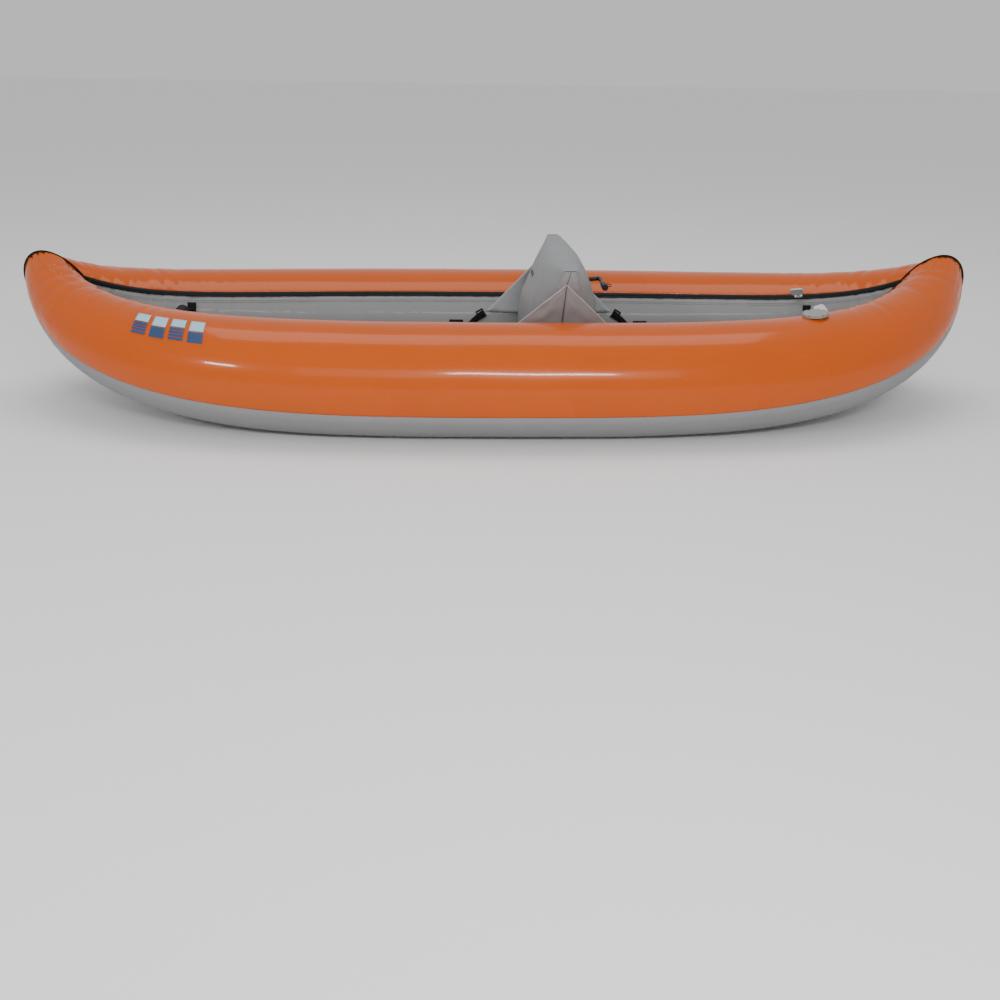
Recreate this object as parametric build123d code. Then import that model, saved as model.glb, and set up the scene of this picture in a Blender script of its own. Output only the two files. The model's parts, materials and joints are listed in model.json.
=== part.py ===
from build123d import *
import math
import os

# One-person inflatable kayak, in millimetres.
# +X runs to the stern, +Y to starboard, +Z up. The origin lies on the ground under the middle
# of the boat. Each side is one air tube whose centre line is a formula of u: u is -1 past the
# bow crossing, 0 amidships and +1 past the stern crossing.

# ---- driving dimensions -------------------------------------------------------------------
TUBE_RADIUS = 157.0
HALF_BEAM = 373.0            # tube centre line to centre plane, amidships
MIDSHIP_X = -2.4             # puts the origin half way between the two noses
TURN_LINEAR = 0.12           # plan heading of a tube, radians: TURN_LINEAR u + turn u^3
BOW = {"arc": 1501.0, "turn": 1.036, "rise4": 154.0, "rise7": 93.0, "taper": 0.64, "seam": 0.30}
STERN = {"arc": 1597.0, "turn": 1.295, "rise4": 209.0, "rise7": 128.0, "taper": 0.716, "seam": 0.61}
ZIP_ANGLE = 0.860            # zipper line, from the top of the tube towards the cockpit
ZIP_ANGLE_GROWTH = 0.38      # how much further round it lies at the ends
SEAM_ANGLE = 0.412           # colour seam, below the tube's outermost line

SKIN = 3.0                   # wall of the covers
CELL_GAP = 2.0               # between a cover and the air cell in it
CELL_WALL = 3.0
JOIN_GAP = 0.25              # between panels that are welded edge to edge
ZIP_HALF = 7.5
ZIP_PROUD = 1.5
NOSE_HALF = 1.5              # half the thickness of the seam panel at each nose
NOSE_PROUD = 2.5
PANEL_BREAK = 0.46           # where the nose panels of a cover meet the middle panel

HULL_ANGLE = math.radians(146)
HULL_SKIN = 3.0
HULL_CLEAR = 4.5
FLOOR_TOP_ANGLE = math.radians(116)
FLOOR_LOW_ANGLE = math.radians(138)
FLOOR_CLEAR = 2.5
FLOOR_CLEAR_GROWTH = 9.0     # more room where the tubes curve in
FLOOR_CROWN = 6.0
FLOOR_SKIN = 3.0
FLOOR_BOW = -0.80
FLOOR_STERN = 0.755

TAB_U = [-0.725, -0.53, -0.365, -0.005, 0.488]
TAB_WIDTH = 30.0
TAB_REACH = 58.0
TAB_THICK = 2.4

HANDLE_BOW_U = -0.685
HANDLE_STERN_U = 0.665
HANDLE_ANGLE = math.radians(76)
STRAP_WIDTH = 25.0
STRAP_THICK = 2.5
GRIP_LENGTH = 118.0
GRIP_RADIUS = 15.0
GRIP_OFFSET = -26.0
HANDLE_ARCH = 22.0

VALVE_U = 0.557
VALVE_ANGLE = {"port": 0.0, "starboard": math.radians(-92)}    # from the tube's top
VALVE_RADIUS = 37.0
VALVE_BORE = 26.0            # hole in a cover and its air cell for the valve's barrel
FLOOR_VALVE_AT = (918.0, -72.0)

SLIDER_U = 0.642
SEAT_TOP_X = 176.0
SEAT_BASE_X = 162.0
SEAT_BASE_Z = 110.0
SEAT_TOP_Z = 446.0
SEAT_SKIN = 3.0
WING_REACH = 198.0           # from the seat's middle to a side flap's corner
WING_SIDE = 209.0
# height above the seat's base, half width, half length, half width of the crimped end
SEAT_SECTIONS = [
    (0, 66, 195, 40),
    (30, 106, 202, 56),
    (95, 124, 206, 66),
    (145, 124, 222, 66),
    (194, 121, 240, 60),
    (245, 113, 264, 46),
    (290, 97, 290, 30),
    (322, 68, 303, 21),
    (336, 38, 303, 20),
]

os.makedirs("parts", exist_ok=True)
WRITTEN = []


def write(name, shape):
    export_step(shape, f"parts/{name}.step")
    WRITTEN.append(name)


# ---- the tube's geometry ------------------------------------------------------------------
def end_of(u):
    return BOW if u < 0 else STERN


def heading(u):
    s = abs(u)
    return TURN_LINEAR * s + end_of(u)["turn"] * s ** 3


def centre(u, steps=48):
    """Centre of the starboard tube at u, from the midship section outwards."""
    end = end_of(u)
    s = abs(u)
    x = 0.0
    inward = 0.0
    for i in range(steps):
        middle = (i + 0.5) * s / steps
        angle = heading(math.copysign(middle, u))
        x += math.cos(angle) * s / steps
        inward += math.sin(angle) * s / steps
    rise = end["rise4"] * s ** 4 + end["rise7"] * s ** 7
    return Vector(math.copysign(x * end["arc"], u) + MIDSHIP_X, HALF_BEAM - inward * end["arc"], TUBE_RADIUS + rise)


def radius(u):
    return TUBE_RADIUS * (1 - end_of(u)["taper"] * abs(u) ** 4)


def zip_angle(u):
    return ZIP_ANGLE + ZIP_ANGLE_GROWTH * u ** 4


def seam_angle(u):
    return -(math.pi / 2 + SEAM_ANGLE - end_of(u)["seam"] * abs(u) ** 3)


def directions(u):
    """Unit vectors of the tube at u: along it, outwards and up."""
    end = end_of(u)
    s = abs(u)
    angle = heading(u)
    slope = (4 * end["rise4"] * s ** 3 + 7 * end["rise7"] * s ** 6) / end["arc"]
    sign = math.copysign(1.0, u)
    along = Vector(math.cos(angle), -sign * math.sin(angle), sign * slope).normalized()
    outward = Vector(sign * math.sin(angle), math.cos(angle), 0)
    return along, outward, along.cross(outward)


def on_tube(u, angle, offset=0.0):
    """Point at an angle from the tube's top towards the cockpit, offset from its skin."""
    _, outward, up = directions(u)
    r = radius(u) + offset
    return centre(u) + up * (r * math.cos(angle)) - outward * (r * math.sin(angle))


def spread(low, high, count):
    return [low + (high - low) * i / (count - 1) for i in range(count)]


def sector(u, start, stop, outside, inside):
    """Face across the tube's wall between two angles."""
    middle = (start + stop) / 2
    outer = [on_tube(u, a, outside) for a in (start, middle, stop)]
    inner = [on_tube(u, a, inside) for a in (stop, middle, start)]
    edges = [
        ThreePointArc(*outer),
        Line(outer[2], inner[0]),
        ThreePointArc(*inner),
        Line(inner[2], outer[0]),
    ]
    return make_face(edges)


def half_space(gap):
    """Everything to starboard of the centre plane, from a gap on."""
    return Pos(0, 1000 + gap, 300) * Box(4000, 2000, 1600)


def tube_core(stations, offset):
    faces = []
    for u in stations:
        along, outward, _ = directions(u)
        plane = Plane(origin=centre(u), x_dir=outward, z_dir=along)
        faces.append(plane * Circle(radius(u) + offset))
    return loft(faces)


def both_sides(name, shape, ending=""):
    write(f"{name}_starboard{ending}", shape)
    write(f"{name}_port{ending}", mirror(shape, about=Plane.XZ))


# ---- tube covers --------------------------------------------------------------------------
def cover_panel(stations, upper):
    faces = []
    for u in stations:
        r = radius(u)
        zip_gap = (ZIP_HALF + JOIN_GAP) / r
        seam_gap = JOIN_GAP / r
        if upper:
            start = zip_angle(u) - zip_gap
            stop = seam_angle(u) + seam_gap
        else:
            start = seam_angle(u) - seam_gap
            stop = zip_angle(u) + zip_gap - 2 * math.pi
        faces.append(sector(u, start, stop, 0.0, -SKIN))
    panel = loft(faces)
    if abs(stations[0]) > 0.9 or abs(stations[-1]) > 0.9:
        panel = panel & half_space(NOSE_HALF + JOIN_GAP)
    return panel


def valve_plane(side, offset=0.0):
    """Seat of a tube's valve, drawn on the starboard tube for either side."""
    _, outward, up = directions(VALVE_U)
    angle = VALVE_ANGLE[side]
    normal = up * math.cos(angle) - outward * math.sin(angle)
    across = up * math.sin(angle) + outward * math.cos(angle)
    return Plane(origin=on_tube(VALVE_U, angle, offset), x_dir=across, z_dir=normal)


def bored_sides(name, shape, ending=""):
    """Write a skin for both sides, each with the hole for its own valve."""
    bored = {}
    for side in ("port", "starboard"):
        bored[side] = shape - Location(valve_plane(side)) * Cylinder(VALVE_BORE, 60)
    write(f"{name}_starboard{ending}", bored["starboard"])
    write(f"{name}_port{ending}", mirror(bored["port"], about=Plane.XZ))


def make_covers():
    nose_start = PANEL_BREAK + 0.0003
    spans = {
        "bow": spread(-1.0, -nose_start, 9),
        "middle": spread(-PANEL_BREAK, PANEL_BREAK, 7),
        "stern": spread(nose_start, 1.0, 9),
    }
    for place, stations in spans.items():
        upper = cover_panel(stations, upper=True)
        write_upper = bored_sides if place == "stern" else both_sides
        write_upper("tube_cover", upper, f"_{place}")
        both_sides("tube_base", cover_panel(stations, upper=False), f"_{place}")


def make_air_cells():
    stations = spread(-0.98, 0.98, 17)
    outer = tube_core(stations, -SKIN - CELL_GAP) & half_space(5.0)
    inner = tube_core(stations, -SKIN - CELL_GAP - CELL_WALL) & half_space(5.0 + CELL_WALL)
    bored_sides("air_cell", outer - inner)


def make_nose_seams():
    for name, stations in (("bow", spread(-1.0, -0.7, 5)), ("stern", spread(0.65, 1.0, 5))):
        slab = Pos(0, 0, 300) * Box(4000, 2 * NOSE_HALF, 1600)
        write(f"{name}_seam_panel", tube_core(stations, NOSE_PROUD) & slab)


def make_zippers():
    faces = []
    for u in spread(-1.0, 1.0, 21):
        half = ZIP_HALF / radius(u)
        faces.append(sector(u, zip_angle(u) - half, zip_angle(u) + half, ZIP_PROUD, -SKIN))
    both_sides("zipper", loft(faces) & half_space(NOSE_HALF + JOIN_GAP))


# ---- hull bottom and floor ----------------------------------------------------------------
def floor_section(u, wall):
    """Section across the cockpit that follows both tubes, drawn in by a wall."""
    middle_angle = (FLOOR_LOW_ANGLE + FLOOR_TOP_ANGLE) / 2
    clearance = FLOOR_CLEAR + FLOOR_CLEAR_GROWTH * abs(u) ** 3 + 1.6 * wall
    low = on_tube(u, FLOOR_LOW_ANGLE, clearance)
    middle = on_tube(u, middle_angle, clearance)
    top = on_tube(u, FLOOR_TOP_ANGLE, clearance)
    base = low.Z + wall
    edge = top.Z - wall
    x = middle.X
    edges = [
        Line((x, -low.Y, base), (x, low.Y, base)),
        ThreePointArc((x, low.Y, base), (x, middle.Y, middle.Z), (x, top.Y, edge)),
        ThreePointArc((x, top.Y, edge), (x, 0, edge + FLOOR_CROWN), (x, -top.Y, edge)),
        ThreePointArc((x, -top.Y, edge), (x, -middle.Y, middle.Z), (x, -low.Y, base)),
    ]
    return make_face(edges)


def floor_body(wall):
    inset = wall / 1500.0
    return loft([floor_section(u, wall) for u in spread(FLOOR_BOW + inset, FLOOR_STERN - inset, 11)])


def make_hull_bottom():
    faces = []
    for u in spread(-0.84, 0.80, 11):
        low = on_tube(u, HULL_ANGLE, HULL_CLEAR)
        x = low.X
        width = low.Y
        face = Plane(origin=(x, 0, low.Z), x_dir=(0, 1, 0), z_dir=(1, 0, 0)) * Rectangle(2 * width, HULL_SKIN)
        faces.append(face)
    write("hull_bottom", loft(faces))


def floor_height(x, y):
    """Height of the floor's top at a place, from the nearest station."""
    best = min(spread(-0.8, 0.8, 321), key=lambda u: abs(on_tube(u, FLOOR_TOP_ANGLE).X - x))
    edge = on_tube(best, FLOOR_TOP_ANGLE, FLOOR_CLEAR)
    return edge.Z + FLOOR_CROWN * (1 - (y / edge.Y) ** 2)


def floor_valve_plane(lift):
    x, y = FLOOR_VALVE_AT
    slope = (floor_height(x + 60.0, y) - floor_height(x - 60.0, y)) / 120.0
    return Plane(origin=(x, y, floor_height(x, y) + lift), x_dir=(1, 0, slope), z_dir=(-slope, 0, 1))


def make_floor():
    hole = Location(floor_valve_plane(0.0)) * Cylinder(VALVE_BORE, 60)
    write("floor_cover", floor_body(0.0) - floor_body(FLOOR_SKIN) - hole)
    outer = FLOOR_SKIN + 1.5
    write("floor_air_cell", floor_body(outer) - floor_body(outer + CELL_WALL) - hole)


# ---- fittings -----------------------------------------------------------------------------
def make_tabs():
    """Webbing tie-down tabs at the floor's edge, one group for each side."""
    tabs = []
    for u in TAB_U:
        edge = on_tube(u, FLOOR_TOP_ANGLE, FLOOR_CLEAR)
        x = edge.X
        outer_y = edge.Y - 7.0
        inner_y = outer_y - TAB_REACH
        z = floor_height(x, outer_y) + 8.0
        tabs.append(Pos(x, (outer_y + inner_y) / 2, z) * Box(TAB_WIDTH, TAB_REACH, TAB_THICK))
    both_sides("tie_down_tabs", Compound(children=tabs))


def make_handle(name, u):
    """Webbing strap over the cockpit with a ribbed rubber grip on it."""
    end = on_tube(u, HANDLE_ANGLE, 6.0)
    x, reach, z = end.X, end.Y, end.Z
    high = z + HANDLE_ARCH
    half_flat = GRIP_LENGTH / 2 + 6.0
    path = [(-reach, z), (GRIP_OFFSET - half_flat, high), (GRIP_OFFSET + half_flat, high), (reach, z)]
    upper = [Vector(x, y, h + STRAP_THICK / 2) for y, h in path]
    lower = [Vector(x, y, h - STRAP_THICK / 2) for y, h in reversed(path)]
    profile = make_face(Polyline(*upper, *lower, close=True))
    write(f"{name}_handle_strap", extrude(profile, amount=STRAP_WIDTH / 2, dir=(1, 0, 0), both=True))
    grip = Cylinder(GRIP_RADIUS, GRIP_LENGTH)
    for i in range(9):
        grip += Pos(0, 0, (i - 4) * 10.0) * Cylinder(GRIP_RADIUS + 2.0, 5.0)
    grip &= Box(2 * GRIP_RADIUS + 8, 2 * GRIP_RADIUS - 4, GRIP_LENGTH)
    grip -= Box(STRAP_WIDTH + 1.0, STRAP_THICK + 1.0, 2 * GRIP_LENGTH)
    write(f"{name}_handle_grip", Pos(x, GRIP_OFFSET, high) * Rot(90, 0, 0) * grip)
    return x, z


def valve_stack(place, names):
    """A flanged inflation valve: body, sprung stem and turning cap, along local Z."""
    body = Cylinder(VALVE_RADIUS, 3.0, align=(Align.CENTER, Align.CENTER, Align.MIN))
    body += Pos(0, 0, -26) * Cylinder(25.0, 26.5, align=(Align.CENTER, Align.CENTER, Align.MIN))
    body -= Pos(0, 0, -22) * Cylinder(19.0, 40, align=(Align.CENTER, Align.CENTER, Align.MIN))
    body -= Pos(0, 0, -30) * Cylinder(6.0, 40, align=(Align.CENTER, Align.CENTER, Align.MIN))
    stem = Pos(0, 0, -30) * Cylinder(4.5, 26, align=(Align.CENTER, Align.CENTER, Align.MIN))
    stem += Pos(0, 0, -14.5) * Cylinder(9.0, 3.0, align=(Align.CENTER, Align.CENTER, Align.MIN))
    cap = Pos(0, 0, 3.4) * Cylinder(VALVE_RADIUS - 1.0, 4.0, align=(Align.CENTER, Align.CENTER, Align.MIN))
    cap += Pos(0, 0, 1.0) * Cylinder(17.5, 3.0, align=(Align.CENTER, Align.CENTER, Align.MIN))
    for i in range(6):
        notch = Pos(VALVE_RADIUS - 3.0, 0, 3.4) * Cylinder(4.0, 12.0)
        cap -= Rot(0, 0, 60 * i) * notch
    for name, shape in zip(names, (body, stem, cap)):
        write(name, place * shape)


def make_valves():
    seat = valve_plane("port", 2.4)
    port = Plane(
        origin=(seat.origin.X, -seat.origin.Y, seat.origin.Z),
        x_dir=(seat.x_dir.X, -seat.x_dir.Y, seat.x_dir.Z),
        z_dir=(seat.z_dir.X, -seat.z_dir.Y, seat.z_dir.Z),
    )
    starboard = valve_plane("starboard", 2.4)
    floor = floor_valve_plane(3.4)
    for side, plane in (("port", port), ("starboard", starboard)):
        names = [f"{part}_{side}" for part in ("tube_valve_body", "tube_valve_stem", "tube_valve_cap")]
        valve_stack(Location(plane), names)
    valve_stack(Location(floor), ["floor_valve_body", "floor_valve_stem", "floor_valve_cap"])
    return port, starboard, floor


def slider_plane():
    along, outward, up = directions(SLIDER_U)
    angle = zip_angle(SLIDER_U)
    normal = up * math.cos(angle) - outward * math.sin(angle)
    return Plane(origin=on_tube(SLIDER_U, angle, ZIP_PROUD), x_dir=along, z_dir=normal)


def make_sliders():
    """Zipper slider, standing clear of the teeth, with its pull tag upright on it."""
    plane = Location(slider_plane())
    slider = Pos(0, 0, 4.0) * Box(24.0, 12.0, 5.0)
    slider = fillet(slider.edges().filter_by(Axis.Z), 3.0)
    bridge = Pos(0, 0, 7.5) * Box(3.0, 9.0, 8.0)
    eye = Pos(0, 0, 9.0) * Rot(0, 90, 0) * Cylinder(1.6, 20)
    both_sides("zipper_slider", plane * (slider + bridge - eye))
    tag = Pos(0, 0, 34.0) * Box(38.0, 4.0, 38.0)
    tag = fillet(tag.edges().filter_by(Axis.Y), 8.0)
    pin = Pos(0, 0, 9.0) * Rot(0, 90, 0) * Cylinder(1.3, 9.0)
    arms = [Pos(side * 3.5, 0, 12.0) * Box(2.0, 4.0, 8.6) for side in (-1, 1)]
    neck = Pos(0, 0, 16.5) * Box(9.0, 4.0, 3.0)
    both_sides("zipper_pull", plane * (tag + neck + pin + arms))


# ---- backrest -----------------------------------------------------------------------------
def lens(z, half_width, half_length, half_end, x):
    """Lens-shaped outline across the boat with its two ends cut straight."""
    corners = [
        Vector(x + half_end, -half_length, z),
        Vector(x + half_end, half_length, z),
        Vector(x - half_end, half_length, z),
        Vector(x - half_end, -half_length, z),
    ]
    edges = [
        ThreePointArc(corners[0], Vector(x + half_width, 0, z), corners[1]),
        Line(corners[1], corners[2]),
        ThreePointArc(corners[2], Vector(x - half_width, 0, z), corners[3]),
        Line(corners[3], corners[0]),
    ]
    return make_face(edges)


def seat_body(wall):
    faces = []
    height = SEAT_TOP_Z - SEAT_BASE_Z
    for rise, half_width, half_length, half_end in SEAT_SECTIONS:
        lift = rise + wall - 2 * wall * rise / height
        x = SEAT_BASE_X + (SEAT_TOP_X - SEAT_BASE_X) * rise / height
        faces.append(
            lens(SEAT_BASE_Z + lift, half_width - wall, half_length - 1.4 * wall, half_end - 0.9 * wall, x)
        )
    return loft(faces)


def seat_wing(direction):
    """Triangular side flap from the crimped end down to a stitched corner."""
    top = Vector(SEAT_TOP_X + direction * 34.0, 291.0, 402.0)
    tip = Vector(SEAT_BASE_X + direction * WING_REACH, WING_SIDE, 214.0)
    low = Vector(SEAT_BASE_X + direction * 124.0, 205.0, 200.0)
    return extrude(make_face(Polyline(top, tip, low, close=True)), amount=1.2, both=True)


def make_seat():
    write("seat_cover", seat_body(0.0) - seat_body(SEAT_SKIN))
    write("seat_air_cell", seat_body(SEAT_SKIN + 1.5) - seat_body(SEAT_SKIN + 4.5))
    for place, direction in (("bow", -1), ("stern", 1)):
        both_sides("seat_wing", seat_wing(direction), f"_{place}")
        tip_x = SEAT_BASE_X + direction * WING_REACH
        frame = Box(24.0, 4.0, 30.0)
        for side in (-1, 1):
            frame -= Pos(0, 0, side * 7.5) * Box(17.0, 6.0, 6.0)
        place_at = Pos(tip_x + direction * 18.0, 206.0, 206.0) * Rot(0, direction * 30.0, 0)
        both_sides("seat_buckle", place_at * frame, f"_{place}")
        start = Vector(tip_x + direction * 34.0, 204.0, 194.0)
        stop = Vector(tip_x + direction * 88.0, 203.0, 140.0)
        line = stop - start
        tilt = math.degrees(math.atan2(-line.Z, line.X))
        strap = Pos(*((start + stop) * 0.5)) * Rot(0, tilt, 0) * Box(line.length, 2.0, 20.0)
        both_sides("seat_strap", strap, f"_{place}")


def make_seat_valve():
    """Mouth inflation tube behind the backrest, with its twist valve."""
    x = SEAT_TOP_X + 119.0
    z = 364.0
    tube = Pos(x, -38.0, z) * Rot(90, 0, 0) * (Cylinder(6.0, 78.0) - Cylinder(3.0, 80.0))
    body = Pos(x, -88.5, z) * Rot(90, 0, 0) * (Cylinder(8.0, 22.0) - Cylinder(3.0, 24.0))
    knob = Pos(x, -115.5, z) * Rot(90, 0, 0) * Cylinder(9.5, 31.0)
    for i in range(8):
        groove = Pos(9.8, 0, 0) * Cylinder(1.2, 40)
        knob -= Pos(x, -115.5, z) * Rot(90, 0, 0) * Rot(0, 0, 45 * i) * groove
    write("seat_inflation_tube", tube)
    write("seat_valve_body", body)
    write("seat_valve_knob", knob)


def main():
    make_covers()
    make_air_cells()
    make_nose_seams()
    make_zippers()
    make_hull_bottom()
    make_floor()
    make_tabs()
    print("bow handle axis x, z", make_handle("bow", HANDLE_BOW_U))
    print("stern handle axis x, z", make_handle("stern", HANDLE_STERN_U))
    for plane in make_valves():
        print("valve", plane.origin, plane.z_dir)
    plane = slider_plane()
    print("slider", plane.origin, plane.x_dir, plane.y_dir, plane.z_dir)
    make_sliders()
    make_seat()
    make_seat_valve()
    print(len(WRITTEN), "nodes")


main()
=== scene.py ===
import json
import logging
import math
from dataclasses import dataclass
from enum import Enum
from functools import lru_cache

import bmesh
import bpy
from mathutils import Matrix, Vector, noise
from mathutils.bvhtree import BVHTree


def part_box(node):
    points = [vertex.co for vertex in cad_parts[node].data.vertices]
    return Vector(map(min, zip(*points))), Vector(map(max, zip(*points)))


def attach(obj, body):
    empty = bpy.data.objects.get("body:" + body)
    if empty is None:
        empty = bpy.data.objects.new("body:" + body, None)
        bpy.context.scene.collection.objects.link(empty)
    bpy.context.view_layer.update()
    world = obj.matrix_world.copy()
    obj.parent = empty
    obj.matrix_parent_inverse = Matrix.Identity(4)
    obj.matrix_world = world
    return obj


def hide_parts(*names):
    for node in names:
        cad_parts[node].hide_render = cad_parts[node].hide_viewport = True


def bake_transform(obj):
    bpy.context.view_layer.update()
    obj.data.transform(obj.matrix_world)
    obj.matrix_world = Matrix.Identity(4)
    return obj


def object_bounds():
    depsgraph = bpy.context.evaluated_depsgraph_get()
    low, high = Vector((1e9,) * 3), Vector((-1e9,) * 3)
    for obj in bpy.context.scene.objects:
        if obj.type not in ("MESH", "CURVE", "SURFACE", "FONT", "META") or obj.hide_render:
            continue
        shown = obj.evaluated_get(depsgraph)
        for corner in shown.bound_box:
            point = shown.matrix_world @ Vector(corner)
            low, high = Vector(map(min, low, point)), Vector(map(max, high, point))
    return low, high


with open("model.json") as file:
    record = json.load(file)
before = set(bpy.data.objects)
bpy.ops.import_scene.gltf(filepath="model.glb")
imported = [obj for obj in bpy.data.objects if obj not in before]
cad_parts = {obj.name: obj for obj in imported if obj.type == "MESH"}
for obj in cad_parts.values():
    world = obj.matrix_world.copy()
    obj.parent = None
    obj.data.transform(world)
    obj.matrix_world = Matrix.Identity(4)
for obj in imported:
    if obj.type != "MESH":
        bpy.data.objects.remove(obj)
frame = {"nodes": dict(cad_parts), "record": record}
CAD_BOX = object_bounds()
LOG = logging.getLogger("kayak")
GAP = 0.0016                      # half the seam panel on the centre plane
LENGTHWISE = Vector((1, 0, 0))


class Side(Enum):
    """The two sides of the boat."""

    PORT = -1
    STARBOARD = 1

    @property
    def word(self) -> str:
        """Name used in the node names."""
        return self.name.lower()


# ---- finishes ------------------------------------------------------------------------------
def connect(tree: bpy.types.NodeTree, node: bpy.types.Node, inputs: dict) -> None:
    """Fill a node's inputs.

    Args:
        tree: The tree that holds the node.
        node: The node.
        inputs: A value, or an output to link from, for each input's name or number.
    """
    for key, value in inputs.items():
        if isinstance(value, bpy.types.NodeSocket):
            tree.links.new(value, node.inputs[key])
        else:
            node.inputs[key].default_value = value


def add(tree: bpy.types.NodeTree, kind: str, inputs: dict | None = None,
        **settings: object) -> bpy.types.Node:
    """Add a node to a tree.

    Args:
        tree: Where the node goes.
        kind: Its type.
        inputs: What its inputs hold or are linked to.
        settings: Its own properties.

    Returns:
        The new node.
    """
    node = tree.nodes.new(kind)
    for key, value in settings.items():
        setattr(node, key, value)
    connect(tree, node, inputs or {})
    return node


@dataclass(frozen=True)
class Finish:
    """A procedural finish: base colour, gloss, weave and unevenness."""

    slot: str
    colour: tuple[float, float, float]
    roughness: float = 0.5
    coat: float = 0.0
    sheen: float = 0.0
    metallic: float = 0.0
    specular: float = 0.35
    mottle: float = 0.12
    mottle_scale: float = 6.0
    weave: float = 0.0
    weave_depth: float = 0.0001
    crinkle: float = 0.0006
    crinkle_scale: float = 22.0

    def material(self, suffix: str = "") -> bpy.types.Material:
        """Build the node material, or reuse it.

        Args:
            suffix: Added to the name of the material.

        Returns:
            The material.
        """
        name = f"kayak_{self.slot}{suffix}"
        if name in bpy.data.materials:
            return bpy.data.materials[name]
        mat = bpy.data.materials.new(name)
        mat.use_nodes = True
        tree = mat.node_tree
        place = add(tree, "ShaderNodeTexCoord")
        broad = add(tree, "ShaderNodeTexNoise", {
            "Vector": place.outputs["Object"], "Scale": self.mottle_scale, "Detail": 5.0})
        low = tuple(c * (1 - self.mottle) for c in self.colour)
        high = tuple(min(1.0, c * (1 + self.mottle)) for c in self.colour)
        blend = add(tree, "ShaderNodeMix", {
            0: broad.outputs["Fac"], 6: (*low, 1), 7: (*high, 1)}, data_type="RGBA")
        gloss = add(tree, "ShaderNodeMapRange", {
            "Value": broad.outputs["Fac"], "To Min": self.roughness * 0.82, "To Max": self.roughness * 1.2})
        fine = add(tree, "ShaderNodeTexNoise", {
            "Vector": place.outputs["Object"], "Scale": self.crinkle_scale, "Detail": 3.0})
        bump = add(tree, "ShaderNodeBump", {
            "Height": fine.outputs["Fac"], "Distance": self.crinkle, "Strength": 0.6})
        if self.weave > 0:
            threads = {"Vector": place.outputs["UV"], "Scale": self.weave, "Distortion": 0.6}
            warp, weft = (add(tree, "ShaderNodeTexWave", threads, bands_direction=way) for way in "XY")
            cross = add(tree, "ShaderNodeMath", {
                0: warp.outputs["Fac"], 1: weft.outputs["Fac"]}, operation="MULTIPLY")
            bump = add(tree, "ShaderNodeBump", {
                "Height": cross.outputs[0], "Normal": bump.outputs["Normal"],
                "Distance": self.weave_depth, "Strength": 0.5})
        connect(tree, tree.nodes["Principled BSDF"], {
            "Base Color": blend.outputs[2], "Roughness": gloss.outputs["Result"],
            "Normal": bump.outputs["Normal"],
            "Metallic": self.metallic, "Specular IOR Level": self.specular, "Coat Weight": self.coat,
            "Coat Roughness": 0.09, "Sheen Weight": self.sheen})
        return mat

    def unwoven(self) -> "Finish":
        """The same finish without the weave, for meshes that have no UV."""
        kept = (self.slot, self.colour, self.roughness, self.coat, self.sheen, self.metallic)
        return Finish(*kept, self.specular, self.mottle) if self.weave else self


ORANGE = Finish("orange_pvc", (0.56, 0.086, 0.0), 0.27, coat=0.45, specular=0.12, mottle=0.05, weave=110,
                weave_depth=0.00005)
GREY = Finish("grey_pvc", (0.25, 0.25, 0.255), 0.50, coat=0.05, mottle=0.08, weave=120, weave_depth=0.00012)
FLOOR = Finish("floor_fabric", (0.185, 0.185, 0.19), 0.58, mottle=0.10, weave=120, weave_depth=0.00015,
               sheen=0.05)
SEAT = Finish("seat_fabric", (0.262, 0.270, 0.276), 0.52, mottle=0.07, weave=120, weave_depth=0.00012)
PALE = Finish("seat_fabric", (0.45, 0.45, 0.45), 0.55, mottle=0.08)
DARK = Finish("floor_fabric", (0.05, 0.05, 0.053), 0.6, mottle=0.2)
# Darker copy of the floor fabric for the floor's side bands: painted shade, so they read darker than the
# raised middle panel.
FLOOR_SIDE_SHADE = Finish("floor_fabric", (0.125, 0.125, 0.13), 0.58, mottle=0.12, weave=120, weave_depth=0.00015)
WELT = Finish("black_welt", (0.004, 0.004, 0.005), 0.5, specular=0.2)
ZIP = Finish("zipper_tape", (0.003, 0.005, 0.007), 0.5, specular=0.25, mottle=0.3, mottle_scale=60, weave=260)
WEBBING = Finish("black_webbing", (0.006, 0.006, 0.007), 0.7, sheen=0.05, specular=0.15, weave=330,
                 weave_depth=0.0004)
RUBBER = Finish("grip_rubber", (0.009, 0.009, 0.01), 0.5, specular=0.3, crinkle_scale=300, crinkle=0.0002)
BUCKLE = Finish("buckle_plastic", (0.006, 0.006, 0.007), 0.38, specular=0.35, crinkle_scale=350,
                crinkle=0.0001)
VALVE = Finish("valve_plastic", (0.30, 0.31, 0.28), 0.5, crinkle_scale=300, crinkle=0.0001)
METAL = Finish("slider_metal", (0.62, 0.62, 0.62), 0.25, metallic=1.0, crinkle_scale=200, crinkle=0.00005)
PULL = Finish("pull_plastic", (0.62, 0.62, 0.62), 0.35, crinkle_scale=120, crinkle=0.0002)
FILM = Finish("bladder_film", (0.6, 0.58, 0.5), 0.3)
LABEL = Finish("floor_fabric", (0.62, 0.65, 0.62), 0.45, mottle=0.03)
GATHER = Finish("floor_fabric", (0.21, 0.21, 0.21), 0.55, mottle=0.25, mottle_scale=30)
THREAD = Finish("seat_fabric", (0.10, 0.10, 0.10), 0.7)

CAD_FINISHES = {
    "orange_pvc": ORANGE, "grey_pvc": GREY, "floor_fabric": FLOOR, "seat_fabric": SEAT,
    "bladder_film": FILM, "black_welt": WELT, "zipper_tape": ZIP, "slider_metal": METAL,
    "pull_plastic": PULL, "valve_plastic": VALVE, "black_webbing": WEBBING,
    "grip_rubber": RUBBER, "buckle_plastic": BUCKLE,
}


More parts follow.
